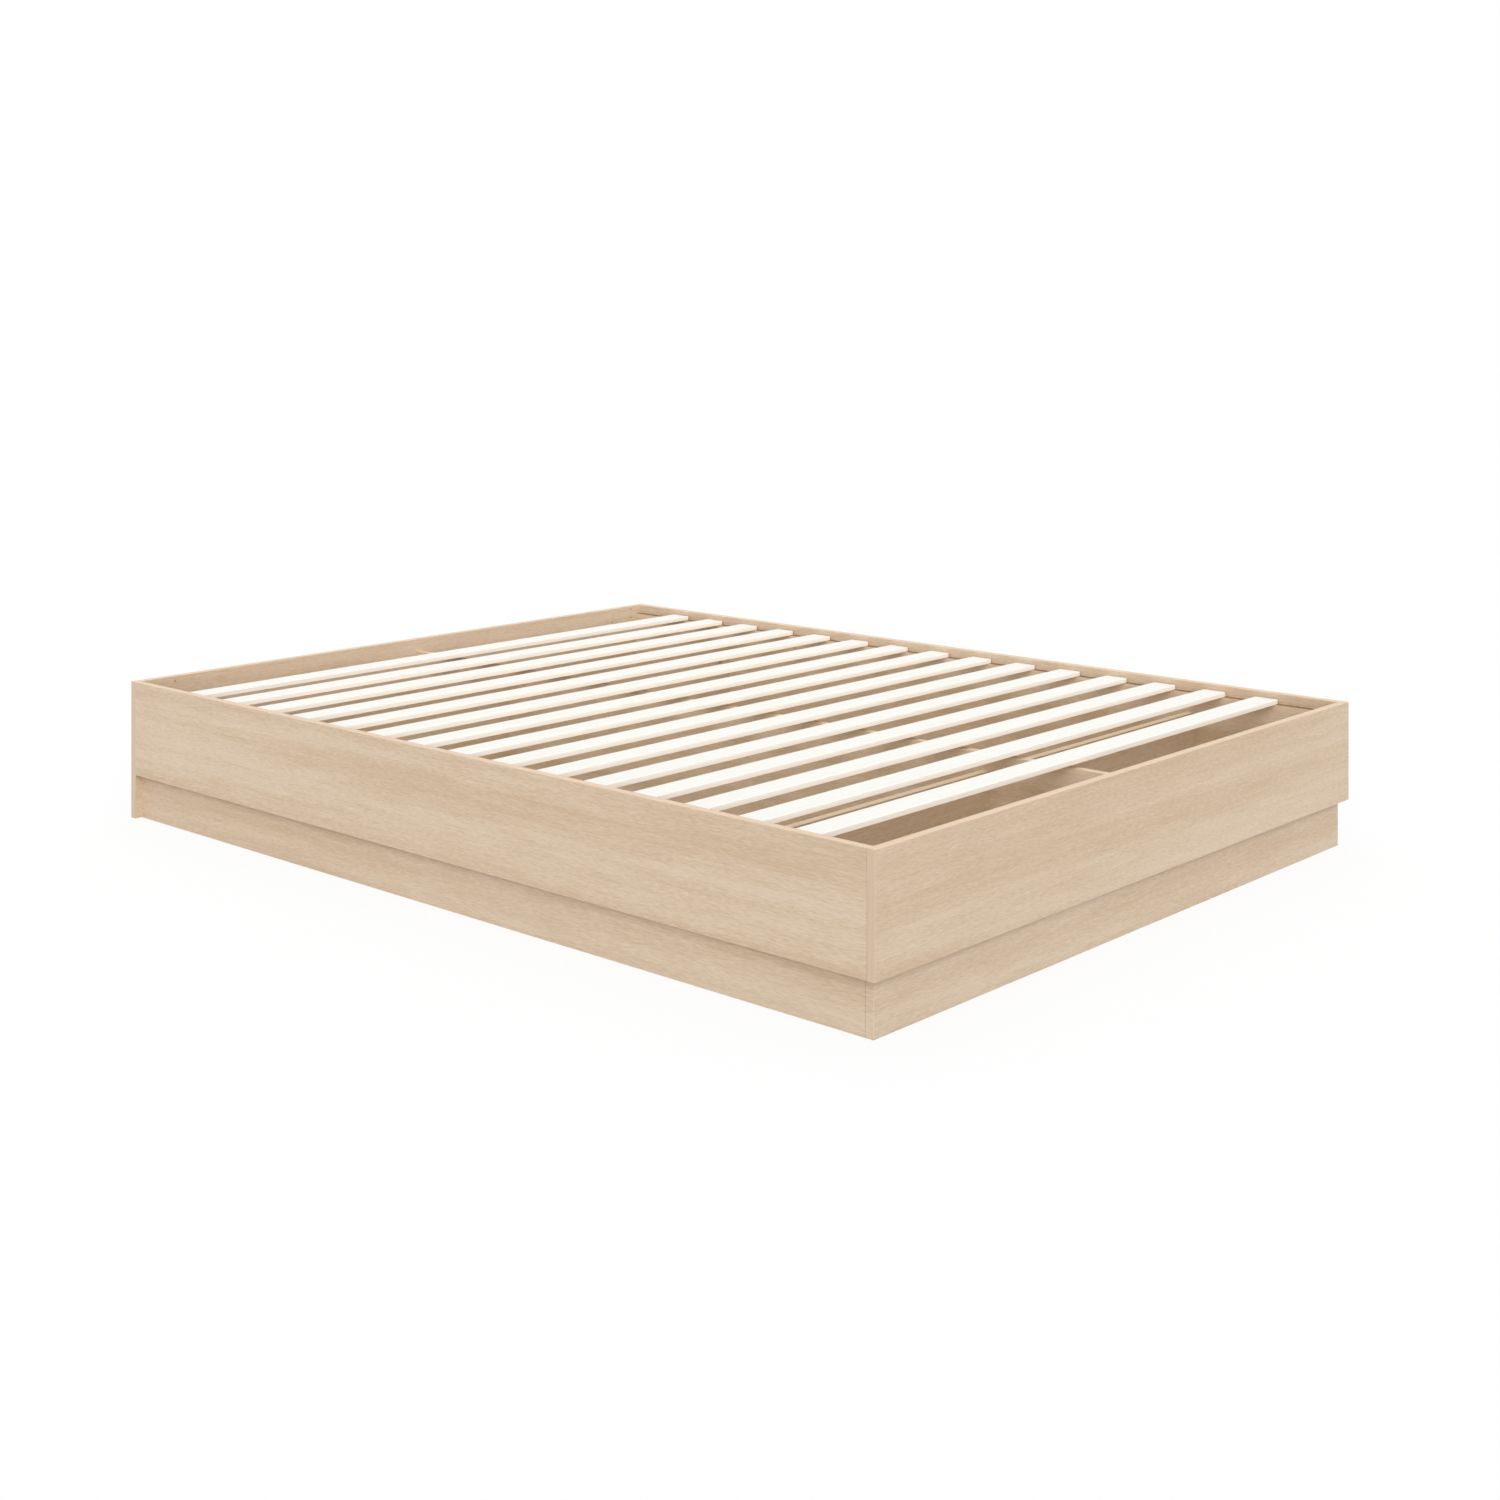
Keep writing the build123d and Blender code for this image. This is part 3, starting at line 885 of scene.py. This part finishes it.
def white_floor(settings):
    """Lay a floor that shows as white with a faint shadow, and gives a share of the light back."""
    material = new_material("Floor")
    tree = material.node_tree
    # Brightness of an open white floor under these lamps; the glow makes up the rest to white
    slanting = (settings.key + settings.back) * math.sin(settings.key_rise)
    open_floor = settings.dome + (settings.overhead + slanting) / math.pi
    seen = seen_rays(tree)
    tone = add_node(tree, "ShaderNodeMapRange", {
        "Value": seen, "To Min": settings.floor_tone, "To Max": settings.shadow,
    })
    glow = add_node(tree, "ShaderNodeMath", {
        "Value": seen, "Value_001": 1 - settings.shadow * open_floor,
    }, operation="MULTIPLY")
    matt = add_node(tree, "ShaderNodeBsdfDiffuse", {"Color": tone.outputs["Result"]})
    white = add_node(tree, "ShaderNodeEmission", {
        "Color": WHITE, "Strength": glow.outputs["Value"],
    })
    both = add_node(tree, "ShaderNodeAddShader", {
        "Shader": matt.outputs["BSDF"], "Shader_001": white.outputs["Emission"],
    })
    add_node(tree, "ShaderNodeOutputMaterial", {"Surface": both.outputs["Shader"]})

    bpy.ops.mesh.primitive_plane_add(size=FLOOR_SIZE, location=(0, 0, 0))
    floor = bpy.context.active_object
    floor.name = "floor"
    floor.data.materials.append(material)


def add_lamp(name, kind, energy, height, turn, **settings):
    """Add a lamp over the middle of the bed that lights it and doesn't show itself."""
    lamp = bpy.data.lights.new(name, kind)
    lamp.energy = energy
    for key, value in settings.items():
        setattr(lamp, key, value)
    lamp_object = bpy.data.objects.new(name, lamp)
    lamp_object.location = (0, 0, height)
    lamp_object.rotation_euler = turn
    lamp_object.visible_camera = False
    lamp_object.visible_glossy = False
    bpy.context.scene.collection.objects.link(lamp_object)


def soft_lamps(settings):
    """Light the bed broadly from above and from two corners, and weakly from under the slats."""
    inside = cad_high - Vector((FILL_INSET, FILL_INSET, 0))
    add_lamp(
        "fill", "AREA", settings.fill, FILL_HEIGHT, (math.pi, 0, 0), shape="RECTANGLE",
        size=2 * inside.x, size_y=2 * inside.y, color=settings.fill_tint[:3],
    )
    slant = math.pi / 2 - settings.key_rise
    for name, energy, tilt, heading in (
        ("overhead", settings.overhead, 0, 0),
        ("key", settings.key, slant, KEY_HEADING),
        ("back", settings.back, slant, KEY_HEADING + math.pi),
    ):
        add_lamp(name, "SUN", energy, LAMP_HEIGHT, (tilt, 0, heading), angle=settings.spread)


def level_camera(settings):
    """Set up the level camera, its picture shifted below the horizon."""
    camera = bpy.data.cameras.new("camera")
    camera.lens = settings.lens
    camera.shift_y = -settings.drop
    camera_object = bpy.data.objects.new("camera", camera)
    camera_object.location = settings.camera_place
    camera_object.rotation_euler = (math.pi / 2, 0, -settings.heading)
    bpy.context.scene.collection.objects.link(camera_object)
    bpy.context.scene.camera = camera_object


class BED_OT_dress_end_panels(bpy.types.Operator):
    """Give the head and foot panels their oak print"""

    bl_idname = "bed.dress_end_panels"
    bl_label = "End panels"

    def execute(self, context):
        dress_boards("panel_board", context.scene.bed_oak)
        return {"FINISHED"}


class BED_OT_dress_rails(bpy.types.Operator):
    """Give the side rails their oak print"""

    bl_idname = "bed.dress_rails"
    bl_label = "Rails"

    def execute(self, context):
        dress_boards("rail_board", context.scene.bed_oak)
        return {"FINISHED"}


class BED_OT_dress_plinth(bpy.types.Operator):
    """Give the plinth boards, which carry the slats, their oak print"""

    bl_idname = "bed.dress_plinth"
    bl_label = "Plinth"

    def execute(self, context):
        dress_boards("plinth_board", context.scene.bed_oak)
        return {"FINISHED"}


class BED_OT_dress_inner_panels(bpy.types.Operator):
    """Give the centre panel and the cross panels under the slats their oak print"""

    bl_idname = "bed.dress_inner_panels"
    bl_label = "Inner panels"

    def execute(self, context):
        dress_boards("inner_board", context.scene.bed_oak)
        return {"FINISHED"}


class BED_OT_dress_edge_bands(bpy.types.Operator):
    """Give the edge bands plain melamine, and those at the plinth's corners the oak print"""

    bl_idname = "bed.dress_edge_bands"
    bl_label = "Edge bands"

    def execute(self, context):
        settings = context.scene.bed_oak
        # Bands along X and Y take the paler Edging, painted light from above; upright bands take
        # the band's own colour
        colours = (settings.edging, settings.edging, settings.end_edging)
        finishes = [
            melamine_edging(f"Melamine edging along {axis}", colour, turn)
            for axis, colour, turn in zip("XYZ", colours, ALONG)
        ]
        # The tops of the cross panels take edging painted lighter, as painted light between the
        # slats
        painted_light_cross_finish = melamine_edging("Melamine edging painted lighter", settings.cross_edging_painted_light, ALONG_X)
        for name in nodes_in_slot("edge_band"):
            along, _ = long_and_thin(name)
            dress([name], painted_light_cross_finish if "_cross_" in name else finishes[along])
        for side in ("left", "right"):
            finish = printed_edging(f"{side}_support_board", settings)
            dress([f"foot_plinth_{side}_band"], finish)
        return {"FINISHED"}


class BED_OT_dress_slats(bpy.types.Operator):
    """Give the slats their pale wood"""

    bl_idname = "bed.dress_slats"
    bl_label = "Slats"

    def execute(self, context):
        dress(nodes_in_slot("slat_wood"), sanded_poplar(context.scene.bed_slats))
        return {"FINISHED"}


class BED_OT_make_cam_bolts(bpy.types.Operator):
    """Make the cam bolts with their threads and recesses"""

    bl_idname = "bed.make_cam_bolts"
    bl_label = "Cam bolts"

    def execute(self, context):
        settings = context.scene.bed_fittings
        make_fittings("cam_bolts", cam_bolt, settings, zinc_plated_steel(settings))
        return {"FINISHED"}


class BED_OT_dress_cam_discs(bpy.types.Operator):
    """Give the cam discs their cast skin"""

    bl_idname = "bed.dress_cam_discs"
    bl_label = "Cam discs"

    def execute(self, context):
        dress(nodes_in_slot("cam_zinc"), die_cast_zinc(context.scene.bed_fittings))
        return {"FINISHED"}


class BED_OT_make_dowels(bpy.types.Operator):
    """Make the dowels with their glue flutes"""

    bl_idname = "bed.make_dowels"
    bl_label = "Dowels"

    def execute(self, context):
        settings = context.scene.bed_fittings
        make_fittings("dowels", fluted_dowel, settings, rolled_beech(settings))
        return {"FINISHED"}


class BED_OT_dress_slat_pegs(bpy.types.Operator):
    """Give the slat pegs their nylon"""

    bl_idname = "bed.dress_slat_pegs"
    bl_label = "Slat pegs"

    def execute(self, context):
        dress(nodes_in_slot("peg_plastic"), moulded_nylon(context.scene.bed_fittings))
        return {"FINISHED"}


class BED_OT_make_plinth_screws(bpy.types.Operator):
    """Make the plinth's screws with their threads and recesses"""

    bl_idname = "bed.make_plinth_screws"
    bl_label = "Plinth screws"

    def execute(self, context):
        settings = context.scene.bed_fittings
        material = zinc_plated_steel(settings)
        for node in ("side_plinth_screws", "foot_plinth_screws"):
            make_fittings(node, plinth_screw, settings, material)
        return {"FINISHED"}


class BED_OT_set_stage(bpy.types.Operator):
    """Add the white floor, the soft light and the camera"""

    bl_idname = "bed.set_stage"
    bl_label = "Stage"

    def execute(self, context):
        settings = context.scene.bed_stage
        context.scene.view_settings.view_transform = "Standard"
        white_surroundings(settings)
        white_floor(settings)
        soft_lamps(settings)
        level_camera(settings)
        return {"FINISHED"}


class BED_PT_sidebar(bpy.types.Panel):
    """Lists the steps that finish the bed frame"""

    bl_idname = "BED_PT_sidebar"
    bl_label = "Bed frame"
    bl_space_type = "VIEW_3D"
    bl_region_type = "UI"
    bl_category = "Bed"

    def draw(self, context):
        for step in STEPS:
            self.layout.operator(step.bl_idname)


STEPS = (
    BED_OT_dress_end_panels,
    BED_OT_dress_rails,
    BED_OT_dress_plinth,
    BED_OT_dress_inner_panels,
    BED_OT_dress_edge_bands,
    BED_OT_dress_slats,
    BED_OT_make_cam_bolts,
    BED_OT_dress_cam_discs,
    BED_OT_make_dowels,
    BED_OT_dress_slat_pegs,
    BED_OT_make_plinth_screws,
    BED_OT_set_stage,
)
SETTINGS = {
    "bed_oak": OakSettings,
    "bed_slats": SlatSettings,
    "bed_fittings": FittingSettings,
    "bed_stage": StageSettings,
}


def register():
    """Add the classes, and the settings that a scene keeps."""
    for cls in (*SETTINGS.values(), *STEPS, BED_PT_sidebar):
        bpy.utils.register_class(cls)
    for name, cls in SETTINGS.items():
        setattr(bpy.types.Scene, name, PointerProperty(type=cls))


def unregister():
    """Take the settings and the classes out again."""
    for name in SETTINGS:
        delattr(bpy.types.Scene, name)
    for cls in reversed((*SETTINGS.values(), *STEPS, BED_PT_sidebar)):
        bpy.utils.unregister_class(cls)


def main():
    """Dress the bed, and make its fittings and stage."""
    register()
    bpy.ops.bed.dress_end_panels()
    bpy.ops.bed.dress_rails()
    bpy.ops.bed.dress_plinth()
    bpy.ops.bed.dress_inner_panels()
    bpy.ops.bed.dress_edge_bands()
    bpy.ops.bed.dress_slats()
    bpy.ops.bed.make_cam_bolts()
    bpy.ops.bed.dress_cam_discs()
    bpy.ops.bed.make_dowels()
    bpy.ops.bed.dress_slat_pegs()
    bpy.ops.bed.make_plinth_screws()
    bpy.ops.bed.set_stage()


if __name__ == "__main__":
    main()
